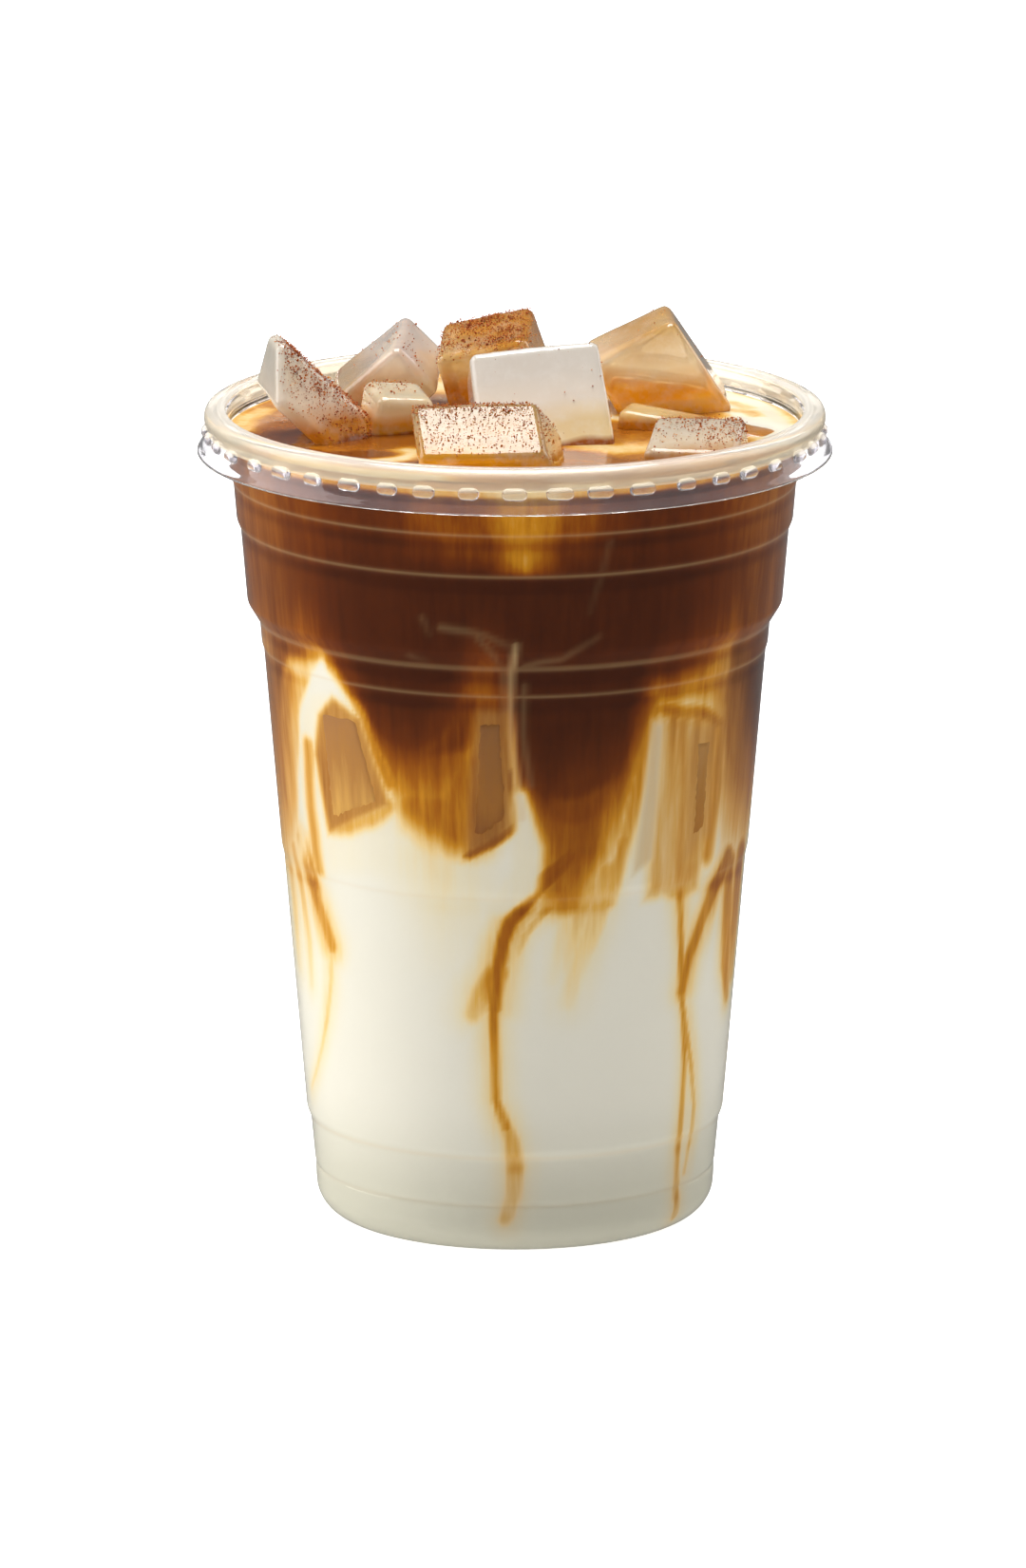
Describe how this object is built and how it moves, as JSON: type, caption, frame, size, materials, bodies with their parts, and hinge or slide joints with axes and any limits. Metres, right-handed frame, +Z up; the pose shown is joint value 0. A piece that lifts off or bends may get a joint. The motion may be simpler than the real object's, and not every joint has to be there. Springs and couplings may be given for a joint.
{
  "type": "iced latte in a clear cup",
  "caption": "Clear tapered cold cup with an open crimped press-fit ring, filled to the brim with iced coffee over milk, with ice blocks standing out of the top.",
  "frame": {"origin": "centre of the foot, on the surface the cup stands on", "axes": "+Z up along the cup's axis; -Y is the side shown in front, +X to the right of that view"},
  "size_m": [0.1004, 0.1004, 0.1428],
  "materials": {
    "cup_plastic": "clear, glossy",
    "ring_plastic": "clear, glossy",
    "coffee": "wet liquid",
    "milk": "wet liquid",
    "ice": "frosted, wet"
  },
  "bodies": {
    "root": {"cup": "cup_plastic", "lid_ring": "ring_plastic", "coffee": "coffee", "milk": "milk", "ice_left": "ice", "ice_back_left": "ice", "ice_inner_left": "ice", "ice_back": "ice", "ice_centre": "ice", "ice_front": "ice", "ice_back_right": "ice", "ice_low_right": "ice", "ice_front_right": "ice"}
  },
  "joints": []
}
